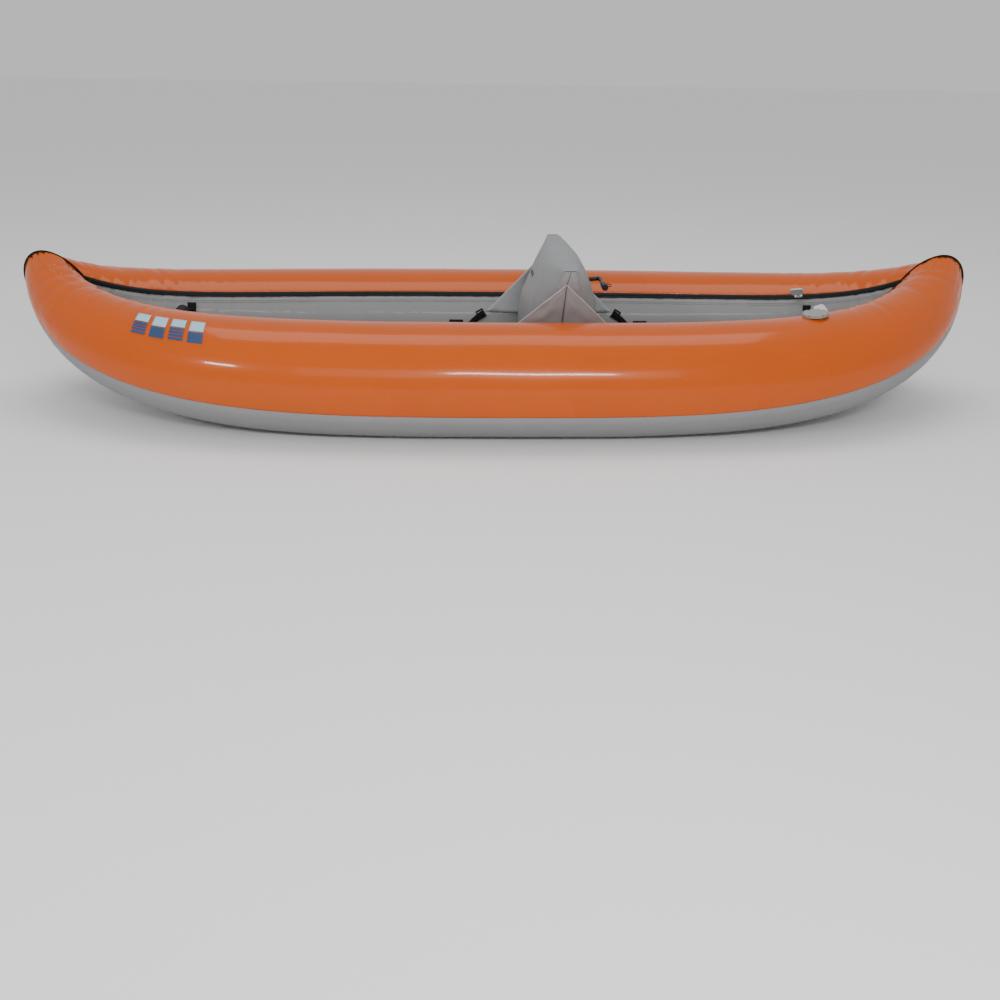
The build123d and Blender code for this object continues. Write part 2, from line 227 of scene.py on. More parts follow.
def dress(piece: bpy.types.Object, finish: Finish, body: str, *nodes: str, suffix: str = "") -> None:
    """Give a piece its finish, its body and the CAD nodes it stands for.

    Args:
        piece: The finished mesh object.
        finish: What it is made of.
        body: The CAD body it rides on.
        nodes: CAD nodes it replaces.
        suffix: Picks a variant of the material.
    """
    if not piece.data.materials:
        piece.data.materials.append(finish.material(suffix))
    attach(piece, body)
    if nodes:
        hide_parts(*nodes)
    LOG.info("%s on %s, %d faces", piece.name, body, len(piece.data.polygons))


def dress_thread(piece: bpy.types.Object, body: str) -> None:
    """Dress a seam or a row of stitches."""
    dress(piece, THREAD, body, suffix="_thread")


# ---- mesh tools ----------------------------------------------------------------------------
def mesh_object(name: str, verts: list, faces: list, uvs: list | None = None) -> bpy.types.Object:
    """Make a smooth-shaded mesh object with an optional UV for each vertex.

    Args:
        name: Name of the object.
        verts: Vertex positions in metres.
        faces: Vertex numbers of each face.
        uvs: A (u, v) pair for each vertex, in metres along the surface.

    Returns:
        The new object, linked to the scene.
    """
    mesh = bpy.data.meshes.new(name)
    mesh.from_pydata([tuple(v) for v in verts], [], faces)
    if uvs:
        layer = mesh.uv_layers.new(name="surface")
        for loop in mesh.loops:
            layer.data[loop.index].uv = uvs[loop.vertex_index]
    for polygon in mesh.polygons:
        polygon.use_smooth = True
    obj = bpy.data.objects.new(name, mesh)
    bpy.context.scene.collection.objects.link(obj)
    return obj


def grid(name: str, rows: list, ring: bool = False, capped: bool = False,
         uv_step: tuple = (1, 1)) -> bpy.types.Object:
    """Skin rows of points with quads.

    Args:
        name: Name of the object.
        rows: Rows of equal length.
        ring: Whether each row closes on itself.
        capped: Whether the first and last rings are closed with a face.
        uv_step: Metres of UV for one row and one column.

    Returns:
        The mesh object.
    """
    count = len(rows[0])
    verts = [p for row in rows for p in row]
    uvs = [(i * uv_step[0], j * uv_step[1]) for i in range(len(rows)) for j in range(count)]
    faces = []
    for i in range(len(rows) - 1):
        for j in range(count if ring else count - 1):
            k = (j + 1) % count
            faces.append((i * count + j, i * count + k, (i + 1) * count + k, (i + 1) * count + j))
    if capped:
        faces.append(tuple(reversed(range(count))))
        faces.append(tuple(range((len(rows) - 1) * count, len(rows) * count)))
    return mesh_object(name, verts, faces, uvs)


def to_side(point: Vector, side: Side) -> Vector:
    """A point of the starboard side, brought to either side."""
    return Vector((point.x, point.y * side.value, point.z))


def outward(obj: bpy.types.Object) -> bpy.types.Object:
    """Merge doubles and make the faces of a closed mesh point outwards.

    Args:
        obj: The closed mesh.

    Returns:
        The same object.
    """
    bm = bmesh.new()
    bm.from_mesh(obj.data)
    bmesh.ops.remove_doubles(bm, verts=bm.verts, dist=1e-6)
    bmesh.ops.recalc_face_normals(bm, faces=bm.faces)
    bm.to_mesh(obj.data)
    bm.free()
    return obj


def bake(obj: bpy.types.Object) -> bpy.types.Object:
    """Turn a piece with live modifiers into a plain mesh.

    Args:
        obj: The piece.

    Returns:
        The same object, smooth-shaded.
    """
    graph = bpy.context.evaluated_depsgraph_get()
    graph.update()
    mesh = bpy.data.meshes.new_from_object(obj.evaluated_get(graph))
    obj.modifiers.clear()
    old = obj.data
    obj.data = mesh
    bpy.data.meshes.remove(old)
    obj.matrix_world = Matrix.Identity(4)
    for polygon in obj.data.polygons:
        polygon.use_smooth = True
    return obj


def thicken(obj: bpy.types.Object, wall: float) -> bpy.types.Object:
    """Give an open sheet its wall, inwards from its faces.

    Args:
        obj: The open sheet.
        wall: Thickness of the wall.

    Returns:
        The same object as a closed mesh.
    """
    solid = obj.modifiers.new("wall", "SOLIDIFY")
    solid.thickness = wall
    solid.offset = -1.0
    return bake(obj)


def facing(obj: bpy.types.Object, score: float) -> bpy.types.Object:
    """Turn an open sheet over if it looks the wrong way.

    Args:
        obj: The open sheet.
        score: Below zero if its faces look the wrong way.

    Returns:
        The same object.
    """
    if score < 0:
        obj.data.flip_normals()
    return obj


def upright(obj: bpy.types.Object) -> bpy.types.Object:
    """Turn an open sheet so that it looks up."""
    return facing(obj, sum(p.normal.z for p in obj.data.polygons))


def strip(name: str, path: list, sides: list, width: float, thick: float) -> bpy.types.Object:
    """A flat strap along a path.

    Args:
        name: Name of the object.
        path: Points of its middle line.
        sides: Unit vector across the strap at each point, or a single one.
        width: Its width.
        thick: Its thickness.

    Returns:
        A closed mesh with rounded edges.
    """
    rows = []
    for i, point in enumerate(path):
        ahead = path[min(i + 1, len(path) - 1)] - path[max(i - 1, 0)]
        side = sides[i] if len(sides) > 1 else sides[0]
        side = (side - ahead.normalized() * side.dot(ahead.normalized())).normalized()
        up = ahead.cross(side).normalized()
        ring = []
        for w, t in ((1, 0), (0.9, 0.5), (-0.9, 0.5), (-1, 0), (-0.9, -0.5), (0.9, -0.5)):
            ring.append(point + side * (w * width / 2) + up * (t * thick))
        rows.append(ring)
    return outward(grid(name, rows, ring=True, capped=True, uv_step=(0.004, width / 2)))


def round_cord(name: str, path: list, radius: float) -> bpy.types.Object:
    """A round piping or ring along points.

    Args:
        name: Name of the object.
        path: Points of its middle line.
        radius: Its radius.

    Returns:
        A closed mesh tube.
    """
    rows = []
    for i, point in enumerate(path):
        ahead = (path[min(i + 1, len(path) - 1)] - path[max(i - 1, 0)]).normalized()
        side = ahead.orthogonal() if abs(ahead.z) > 0.95 else ahead.cross(Vector((0, 0, 1)))
        side.normalize()
        up = side.cross(ahead)
        turn = [2 * math.pi * k / 8 for k in range(8)]
        rows.append([point + side * radius * math.cos(a) + up * radius * math.sin(a) for a in turn])
    return outward(grid(name, rows, ring=True, capped=True))


def smooth_path(points: list, count: int) -> list:
    """Points on a Catmull-Rom curve through a few given ones.

    Args:
        points: What the curve goes through.
        count: How many points it gets.

    Returns:
        The points of the curve.
    """
    knots = [points[0] * 2 - points[1], *points, points[-1] * 2 - points[-2]]
    result = []
    for i in range(count):
        t = i / (count - 1) * (len(points) - 1)
        k = min(int(t), len(points) - 2)
        f = t - k
        a, b, c, d = knots[k:k + 4]
        bend, twist = 2 * a - 5 * b + 4 * c - d, 3 * b - a - 3 * c + d
        result.append(0.5 * (2 * b + (c - a) * f + bend * f ** 2 + twist * f ** 3))
    return result


def wall_patch(name: str, side: Side, x: float, angles: tuple, pinned: int, width: float, thick: float,
               count: int) -> None:
    """A webbing patch sewn down a tube's inner wall, under the end of a strap.

    Args:
        name: Name of the piece.
        side: Which tube.
        x: Length position of the strap.
        angles: Degrees from the tube's top of the places that it runs through.
        pinned: Which of these lies exactly at x.
        width: Its width.
        thick: Its thickness.
        count: Points along it.
    """
    u = LINE.station(x)
    spots = [LINE.point(u, math.radians(a), 0.0016, side) for a in angles]
    shift = Vector((x - spots[pinned].x, 0, 0))
    path = smooth_path([p + shift for p in spots], count)
    dress(strip(name, path, [LENGTHWISE], width, thick), WEBBING, "hull")


class PathRepeater:
    """A Geometry Nodes tree that sets small blocks along a line: stitches or zipper teeth."""

    def __init__(self, name: str, ringed: bool = False) -> None:
        """Build the tree once.

        Args:
            name: Name of the node group.
            ringed: Whether the blocks are round collars about the line.
        """
        tree = bpy.data.node_groups.new(name, "GeometryNodeTree")
        face = tree.interface
        face.new_socket("Path", in_out="INPUT", socket_type="NodeSocketGeometry")
        named = (("Spacing", "Float"), ("Block Size", "Vector"), ("Seed", "Int"), ("Finish", "Material"))
        self.sockets = {
            label: face.new_socket(label, in_out="INPUT", socket_type=f"NodeSocket{kind}").identifier
            for label, kind in named}
        face.new_socket("Blocks", in_out="OUTPUT", socket_type="NodeSocketGeometry")
        given = add(tree, "NodeGroupInput").outputs
        curve = add(tree, "GeometryNodeMeshToCurve", {"Mesh": given["Path"]})
        points = add(tree, "GeometryNodeResampleCurve", {
            "Curve": curve.outputs["Curve"], "Length": given["Spacing"]}, mode="LENGTH")
        tangent = add(tree, "GeometryNodeInputTangent")
        turn = add(tree, "FunctionNodeAlignRotationToVector", {
            "Vector": tangent.outputs["Tangent"]}, axis="Z" if ringed else "X")
        if ringed:
            least, most = (1, 1, 0.9), (1, 1, 1.1)
            parts = add(tree, "ShaderNodeSeparateXYZ", {"Vector": given["Block Size"]})
            block = add(tree, "GeometryNodeMeshCylinder", {
                "Vertices": 24, "Depth": parts.outputs["X"], "Radius": parts.outputs["Y"]})
        else:
            least, most = (0.92, 0.9, 0.9), (1.05, 1.1, 1.1)
            block = add(tree, "GeometryNodeMeshCube", {"Size": given["Block Size"]})
            up = add(tree, "GeometryNodeInputNamedAttribute", {"Name": "up"}, data_type="FLOAT_VECTOR")
            turn = add(tree, "FunctionNodeAlignRotationToVector", {
                "Rotation": turn.outputs["Rotation"], "Vector": up.outputs["Attribute"]},
                axis="Z", pivot_axis="X")
        vary = add(tree, "FunctionNodeRandomValue", {
            "Min": least, "Max": most, "Seed": given["Seed"]}, data_type="FLOAT_VECTOR")
        placed = add(tree, "GeometryNodeInstanceOnPoints", {
            "Points": points.outputs["Curve"], "Instance": block.outputs["Mesh"],
            "Rotation": turn.outputs["Rotation"], "Scale": vary.outputs["Value"]})
        real = add(tree, "GeometryNodeRealizeInstances", {"Geometry": placed.outputs["Instances"]})
        dressed = add(tree, "GeometryNodeSetMaterial", {
            "Geometry": real.outputs["Geometry"], "Material": given["Finish"]})
        add(tree, "NodeGroupOutput", {"Blocks": dressed.outputs["Geometry"]})
        self.tree = tree

    def run(self, name: str, path: list, ups: list, spacing: float, size: tuple, finish: Finish,
            seed: int) -> bpy.types.Object:
        """Set the blocks along one line.

        Args:
            name: Name of the new piece.
            path: Points of the line.
            ups: Which way is up at each point.
            spacing: Distance from block to block.
            size: Length, width and height of a block.
            finish: What the blocks are made of.
            seed: Fixes their small differences in size.

        Returns:
            A plain mesh object.
        """
        mesh = bpy.data.meshes.new(name)
        mesh.from_pydata([tuple(p) for p in path], [(i, i + 1) for i in range(len(path) - 1)], [])
        layer = mesh.attributes.new("up", "FLOAT_VECTOR", "POINT")
        for i, vector in enumerate(ups if len(ups) > 1 else ups * len(path)):
            layer.data[i].vector = vector
        obj = bpy.data.objects.new(name, mesh)
        bpy.context.scene.collection.objects.link(obj)
        modifier = obj.modifiers.new("blocks", "NODES")
        modifier.node_group = self.tree
        material = finish.material("_thread" if finish is THREAD else "")
        values = {"Spacing": spacing, "Block Size": size, "Seed": seed, "Finish": material}
        for label, value in values.items():
            modifier[self.sockets[label]] = value
        return bake(obj)


# ---- the tubes' shape ----------------------------------------------------------------------
@dataclass(frozen=True)
class TubeEnd:
    """How one half of a tube bends in, rises and tapers, in metres."""

    arc: float
    turn: float
    rise4: float
    rise7: float
    taper: float
    seam: float


@dataclass(frozen=True)
class TubeLine:
    """The centre line of the two tubes, from -1 past the bow to +1 past the stern."""

    bow: TubeEnd = TubeEnd(1.501, 1.036, 0.154, 0.093, 0.64, 0.30)
    stern: TubeEnd = TubeEnd(1.597, 1.295, 0.209, 0.128, 0.716, 0.61)
    midship_x: float = -0.0024
    wide: float = 0.157
    half_beam: float = 0.373
    turn_linear: float = 0.12
    zip_base: float = 0.860
    zip_growth: float = 0.38
    seam_base: float = 0.412

    def end(self, u: float) -> TubeEnd:
        """The end that a station belongs to."""
        return self.bow if u < 0 else self.stern

    def radius(self, u: float) -> float:
        """The tube's radius at a station."""
        return self.wide * (1 - self.end(u).taper * abs(u) ** 4)

    def zip_angle(self, u: float) -> float:
        """Angle of the zipper from the tube's top towards the cockpit."""
        return self.zip_base + self.zip_growth * u ** 4

    def seam_angle(self, u: float) -> float:
        """Angle of the colour seam, down the outer side."""
        return -(math.pi / 2 + self.seam_base - self.end(u).seam * abs(u) ** 3)

    def point(self, u: float, angle: float, offset: float = 0.0, side: Side = Side.STARBOARD) -> Vector:
        """A point on the skin.

        Args:
            u: Station along the tube.
            angle: From the top towards the cockpit.
            offset: Height over the skin.
            side: Which tube.

        Returns:
            The point in metres.
        """
        middle, _, out, up = tube_frame(self, u)
        r = self.radius(u) + offset
        p = middle + up * (r * math.cos(angle)) - out * (r * math.sin(angle))
        return to_side(p, side)

    def normal(self, u: float, angle: float, side: Side = Side.STARBOARD) -> Vector:
        """The skin's outward direction at a place."""
        return (self.point(u, angle, 0.01, side) - self.point(u, angle, 0.0, side)).normalized()

    def station(self, x: float) -> float:
        """The station whose zipper lies at a given length position."""
        stations = (i / 400 for i in range(-400, 401))
        return min(stations, key=lambda u: abs(self.point(u, self.zip_angle(u)).x - x))


@lru_cache(maxsize=4096)
def tube_frame(line: TubeLine, u: float) -> tuple[Vector, Vector, Vector, Vector]:
    """Centre, direction, outward and upward vectors of the starboard tube.

    Args:
        line: The tube's shape.
        u: Station along it.

    Returns:
        Four vectors.
    """
    end = line.end(u)
    s = abs(u)
    sign = math.copysign(1.0, u)
    steps = 48
    x = inward = 0.0
    for i in range(steps):
        middle = (i + 0.5) * s / steps
        angle = line.turn_linear * middle + end.turn * middle ** 3
        x += math.cos(angle) * s / steps
        inward += math.sin(angle) * s / steps
    angle = line.turn_linear * s + end.turn * s ** 3
    slope = (4 * end.rise4 * s ** 3 + 7 * end.rise7 * s ** 6) / end.arc
    rise = end.rise4 * s ** 4 + end.rise7 * s ** 7
    middle_x = sign * x * end.arc + line.midship_x
    centre = Vector((middle_x, line.half_beam - inward * end.arc, line.wide + rise))
    along = Vector((math.cos(angle), -sign * math.sin(angle), sign * slope)).normalized()
    out = Vector((sign * math.sin(angle), math.cos(angle), 0))
    return centre, along, out, along.cross(out)


LINE = TubeLine()


def ramp(value: float, low: float, high: float) -> float:
    """Smooth step from 0 at low to 1 at high.

    Args:
        value: What is measured.
        low: Where the step starts.
        high: Where it ends.

    Returns:
        A share from 0 to 1.
    """
    t = max(0.0, min(1.0, (value - low) / (high - low)))
    return t * t * (3 - 2 * t)


def ridge(x: float, y: float, z: float) -> float:
    """Narrow creases: 1 on a crease line, 0 away from it."""
    return max(0.0, 1.0 - 3.2 * abs(noise.noise(Vector((x, y, z))))) ** 2


@dataclass
class TubeCover:
    """The sewn cover of one tube: glossy upper, grey base, zipper and welted seam."""

    side: Side
    stations: int = 430
    around: int = 44
    wall: float = 0.0022
    zip_half: float = 0.0077
    hem_reach: tuple = (0.021, 0.026625)

    def fold(self, u: float, angle: float, upper: bool) -> float:
        """Height of puckers and creases over the plain tube.

        Args:
            u: Station along the tube.
            angle: From the top towards the cockpit.
            upper: Whether this is the orange part.

        Returns:
            Offset in metres.
        """
        seed = 3.1 * self.side.value + (0 if upper else 20)
        s = u * 1.55
        r = LINE.radius(u)
        to_zip = abs(angle - LINE.zip_angle(u)) * r
        if not upper:
            to_zip = min(to_zip, abs(angle + 2 * math.pi - LINE.zip_angle(u)) * r)
        to_seam = abs(angle - LINE.seam_angle(u)) * r
        ends = ramp(abs(u), 0.42, 0.85)
        nose = ramp(abs(u), 0.80, 0.95)
        broad = 0.0011 * noise.noise(Vector((s * 4.5, angle * 1.2, seed)))
        pucker = math.exp(-to_zip / (0.028 if upper else 0.040))
        strength = (0.0007 + 0.0013 * ends) if upper else 0.0022
        height = broad - strength * pucker * ridge(s * 26, angle * 0.7, seed + 5)
        height -= 0.0006 * math.exp(-to_seam / 0.02) * ridge(s * 30, angle * 0.8, seed + 9)
        inner = 0.25 + 0.75 * max(0.0, math.cos(angle - 0.75))
        height -= 0.0030 * ends * inner * ridge(s * 14, angle * 0.35 + s * 1.2, seed + 2)
        height -= 0.0016 * ends * inner * ridge(s * 25, angle * 0.45, seed + 13)
        height -= 0.0045 * nose * ridge(angle * 2.4, s * 3.0, seed + 4)
        if not upper:
            hem = abs(to_zip - 0.021)
            height -= 0.0013 * max(0.0, 1 - hem / 0.0035)
        fade = 1 - math.exp(-min(to_zip, to_seam) / 0.004)
        return height * fade

    def skin(self, upper: bool) -> bpy.types.Object:
        """Build one coloured half of the cover.

        Args:
            upper: The orange part over the top, else the grey base.

        Returns:
            The mesh object with its wall.
        """
        rows = []
        for i in range(self.stations):
            u = -1 + 2 * i / (self.stations - 1)
            gap = self.zip_half / LINE.radius(u)
            if upper:
                start, stop = LINE.zip_angle(u) - gap, LINE.seam_angle(u)
            else:
                start, stop = LINE.seam_angle(u), LINE.zip_angle(u) + gap - 2 * math.pi
            row = []
            for j in range(self.around):
                t = j / (self.around - 1)
                if upper:
                    t = 0.5 - 0.5 * math.cos(math.pi * t) * (1 - 0.35 * math.sin(math.pi * t))
                else:
                    t = t ** 0.8 if t > 0 else 0.0
                angle = start + (stop - start) * t
                row.append(LINE.point(u, angle, self.fold(u, angle, upper), Side.STARBOARD))
            rows.append(row)
        kind = "cover" if upper else "base"
        step = (3.1 / self.stations, 0.48 / self.around)
        obj = grid(f"tube_{kind}_skin_{self.side.word}", rows, uv_step=step)
        bm = bmesh.new()
        bm.from_mesh(obj.data)
        geometry = bm.verts[:] + bm.edges[:] + bm.faces[:]
        bmesh.ops.bisect_plane(bm, geom=geometry, plane_co=(0, GAP, 0), plane_no=(0, 1, 0), clear_inner=True)
        for vert in bm.verts:
            vert.co.y *= self.side.value
        bm.to_mesh(obj.data)
        bm.free()
        middle = LINE.point(0.0, 0.0, -LINE.wide, self.side)
        near = [p for p in obj.data.polygons if abs(p.center.x) < 0.1]
        return thicken(facing(obj, sum((p.center - middle).dot(p.normal) for p in near)), self.wall)

    def build(self, repeater: PathRepeater) -> None:
        """Make the cover's skins and its zipper.

        Args:
            repeater: Sets the teeth and the stitches.
        """
        for upper, kind, finish in ((True, "cover", ORANGE), (False, "base", GREY)):
            nodes = [f"tube_{kind}_{self.side.word}_{place}" for place in ("bow", "middle", "stern")]
            nodes += [f"air_cell_{self.side.word}"] if upper else []
            dress(self.skin(upper), finish, "hull", *nodes)
        stations = [-0.93 + 1.83 * i / 420 for i in range(421)]
        spots = [(u, LINE.point(u, LINE.zip_angle(u), 0.0012, self.side)) for u in stations]
        spots = [(u, p) for u, p in spots if abs(p.y) > 0.006]
        path = [p for _, p in spots]
        ups = [LINE.normal(u, LINE.zip_angle(u), self.side) for u, _ in spots]
        sides = [tube_frame(LINE, u)[1] for u, _ in spots]
        across = [to_side(along, self.side).cross(up).normalized() for along, up in zip(sides, ups)]
        tape = strip(f"zipper_tape_{self.side.word}", path, across, 0.0155, 0.0022)
        dress(tape, ZIP, "hull", f"zipper_{self.side.word}")
        raised = [p + n * 0.0012 for p, n in zip(path, ups)]
        tooth = (0.0024, 0.0052, 0.0016)
        teeth = repeater.run(f"zipper_teeth_{self.side.word}", raised, ups, 0.0042, tooth, ZIP, 4)
        dress(teeth, ZIP, "hull")
        for row, reach in enumerate(self.hem_reach):
            line, tops = [], []
            for u, _ in spots[::3]:
                angle = LINE.zip_angle(u) + reach / LINE.radius(u)
                line.append(LINE.point(u, angle, 0.0004, self.side))
                tops.append(LINE.normal(u, angle, self.side))
            stitch = (0.0036, 0.0009, 0.0007)
            name = f"hem_stitches_{self.side.word}_{row}"
            hem = repeater.run(name, line, tops, 0.006, stitch, THREAD, 7 + row)
            dress_thread(hem, "hull")


# ---- floor ---------------------------------------------------------------------------------
@dataclass
class Floor:
    """The inflated floor with its raised middle panel, the pockets at its ends and the tabs."""

    bow_u: float = -0.80
    stern_u: float = 0.755
    top_angle: float = math.radians(116)
    low_angle: float = math.radians(138)
    crown: float = 0.006
    panel_half: float = 0.132
    tab_stations: tuple = (-0.725, -0.53, -0.365, -0.005, 0.488)
    end_angle: float = math.radians(104)
    end_cloth: float = 0.0016
    narrowest: float = 0.004

    def edge(self, u: float, angle: float) -> Vector:
        """A point of the floor's outline beside the starboard tube."""
        return LINE.point(u, angle, 0.0022 + 0.007 * abs(u) ** 3)

    def height(self, x: float, y: float, edge: Vector) -> float:
        """Height of the top sheet over its edge, with panel, pull lines and dents.

        Args:
            x: Length position.
            y: Distance across from the centre plane.
            edge: The outline beside the tube there.

        Returns:
            Height in metres.
        """
        t = min(1.0, abs(y) / edge.y)
        panel = 0.0055 * ramp(self.panel_half + 0.010 - abs(y), 0.0, 0.014)
        band = 1 - ramp(self.panel_half - abs(y), 0.0, 0.03)
        pull = 0.0075 * band * ridge(x * 5.5 + abs(y) * 9.0, y * 4.0, 2.0)
        soft = 0.0026 * noise.noise(Vector((x * 5.0, y * 6.0, 1.0)))
        line = 0.0030 * ridge(x * 7.0 + y * 2.0, y * 3.0, 8.0)
        droop = 0.010 * ramp(t, 0.86, 1.0)
        return self.crown * (1 - t * t) + panel + soft - pull - line - droop

    def sheet(self) -> bpy.types.Object:
        """Build the floor as one closed cushion.

        Returns:
            The mesh object.
        """
        rows = []
        count, across = 300, 64
        for i in range(count):
            f = i / (count - 1)
            u = self.bow_u + (self.stern_u - self.bow_u) * f
            top, low = self.edge(u, self.top_angle), self.edge(u, self.low_angle)
            close = min(f, 1 - f) * 1550
            sink = 0.020 * max(0.0, 1 - close / 22.0) ** 2
            ring = []
            for k in range(across + 1):
                t = -1 + 2 * k / across
                y = t * top.y
                nose = 0.018 * math.cos(math.pi * t) * ramp(0.05 - f, 0.0, 0.05)
                ring.append(Vector((top.x - nose, y, top.z + self.height(top.x, y, top) - sink)))
            middle = self.edge(u, (self.top_angle + self.low_angle) / 2)
            ring += [Vector((top.x, middle.y, middle.z)), Vector((top.x, low.y, low.z + sink))]
            ring += [Vector((top.x, -low.y, low.z + sink)), Vector((top.x, -middle.y, middle.z))]
            rows.append(ring)
        step = (2.25 / count, 0.5 / across)
        return outward(grid("floor_cushion", rows, ring=True, capped=True, uv_step=step))

    def end_edge(self, u: float) -> Vector:
        """Where an end sheet meets the starboard tube."""
        return LINE.point(u, self.end_angle, 0.001)

    def pocket(self, name: str, start: float, stop: float, pleats: float, ease: float) -> bpy.types.Object:
        """Fabric that closes the cockpit beyond an end of the floor.

        Args:
            name: Name of the piece.
            start: Station of its wide edge.
            stop: Station of its narrow edge.
            pleats: How strongly it is pleated.
            ease: Share of pleats, sag and creases that its cloth allows.

        Returns:
            The mesh object with its wall.
        """
        rows = []
        for i in range(40):
            f = i / 39
            u = start + (stop - start) * f
            a = self.end_edge(u)
            half = max(self.narrowest, a.y)
            share = ease * half / self.end_edge(start).y
            row = []
            for k in range(61):
                t = -1 + 2 * k / 60
                swing = math.sin(t * 24 + 2.0 * noise.noise(Vector((f * 4, t, 3.0))))
                wrinkle = 0.0024 * share * pleats * swing
                sag = -0.020 * share * (1 - t * t)
                crease = 0.004 * share * noise.noise(Vector((f * 6, t * 3, 5.0)))
                row.append(Vector((a.x, half * t, a.z + sag + wrinkle * (1 - t * t) + crease * (1 - abs(t)))))
            rows.append(row)
        obj = grid(name, rows, uv_step=(0.003, 0.003))
        return thicken(upright(obj), self.end_cloth)

    def tab(self, side: Side, number: int) -> bpy.types.Object:
        """One webbing tab: down the tube's wall and out over the floor.

        Args:
            side: Which tube it hangs on.
            number: Which tab, from the bow.

        Returns:
            The mesh object.
        """
        u = self.tab_stations[number]
        top = self.edge(u, self.top_angle)
        x = top.x
        wall = LINE.point(u, math.radians(97), 0.0022)
        lift = 0.006
        points = [Vector((x, wall.y, wall.z)), LINE.point(u, math.radians(106), 0.003)]
        points[1].x = x
        for reach in (0.010, 0.030, 0.062):
            y = top.y - reach
            points.append(Vector((x, y, top.z + self.height(x, y, top) + lift)))
        path = smooth_path([to_side(p, side) for p in points], 26)
        fold = path[-1].copy()
        back = [fold + Vector((0, 0, 0.0028)), fold + Vector((0, 0.012 * side.value, 0.0034))]
        return strip(f"tab_{side.word}_{number}", path + back, [LENGTHWISE], 0.031, 0.0021)

    def build(self, repeater: PathRepeater) -> None:
        """Make the floor, its pockets, its tabs and its label.

        Args:
            repeater: Sets the stitches.
        """
        cushion = self.sheet()
        cushion.data.materials.append(FLOOR.material())
        cushion.data.materials.append(FLOOR_SIDE_SHADE.material("_band"))
        # Faces beyond the raised middle panel take the darker copy: painted shade on the side bands.
        for polygon in cushion.data.polygons:
            polygon.material_index = int(abs(polygon.center.y) > self.panel_half + 0.004)
        dress(cushion, FLOOR, "hull", "floor_cover", "floor_air_cell")
        ends = (("bow_gather", -0.795, -0.905, 1.0, GATHER, "gathered", 1.12, 0.71),
                ("stern_pocket", 0.75, 0.885, 0.3, DARK, "stretched", 1.02, 0.31))
        for name, start, stop, pleats, finish, held, slack, ease in ends:
            sheet = self.pocket(name, start, stop, pleats, ease)
            dress(sheet, finish, "hull", suffix="_" + name)
        for side in Side:
            tabs = [self.tab(side, n) for n in range(len(self.tab_stations))]
            for n, tab in enumerate(tabs):
                dress(tab, WEBBING, "hull", *([f"tie_down_tabs_{side.word}"] if n == 0 else []))
        for side in Side:
            line = []
            for i in range(200):
                u = self.bow_u * 0.95 + (self.stern_u * 0.95 - self.bow_u * 0.95) * i / 199
                top = self.edge(u, self.top_angle)
                y = min(self.panel_half - 0.004, top.y - 0.03)
                line.append(Vector((top.x, y * side.value, top.z + self.height(top.x, y, top) + 0.0004)))
            stitch = (0.0042, 0.001, 0.0007)
            name, ups = f"floor_stitches_{side.word}", [Vector((0, 0, 1))]
            seam = repeater.run(name, line, ups, 0.007, stitch, THREAD, 11)
            dress_thread(seam, "hull")
        self.label()

    def label(self) -> None:
        """A blank notice patch on the floor: pale field, dark head band and plain rules."""
        def patch(name: str, x0: float, x1: float, y0: float, y1: float, lift: float) -> bpy.types.Object:
            """A thin patch that follows the floor between four limits.

            Args:
                name: Name of the piece.
                x0: Its bow end.
                x1: Its stern end.
                y0: Its port edge.
                y1: Its starboard edge.
                lift: Height over the floor.

            Returns:
                The mesh object with its wall.
            """
            rows = []
            for i in range(24):
                x = x0 + (x1 - x0) * i / 23
                stations = (k / 300 for k in range(60, 230))
                u = min(stations, key=lambda v: abs(self.edge(v, self.top_angle).x - x))
                top = self.edge(u, self.top_angle)
                ys = [y0 + (y1 - y0) * k / 19 for k in range(20)]
                rows.append([Vector((x, y, top.z + self.height(x, y, top) + lift)) for y in ys])
            obj = grid(name, rows)
            return thicken(upright(obj), 0.0006)
        dress(patch("notice_field", 0.645, 0.800, -0.075, 0.060, 0.0012), LABEL, "hull", suffix="_label")
        dress(patch("notice_band", 0.618, 0.644, -0.075, 0.060, 0.0012), WELT, "hull")
        for k in range(6):
            x = 0.665 + 0.022 * k
            rule = patch(f"notice_rule_{k}", x, x + 0.004, -0.062, 0.045 - 0.012 * (k % 3), 0.0017)
            dress(rule, VALVE, "hull")


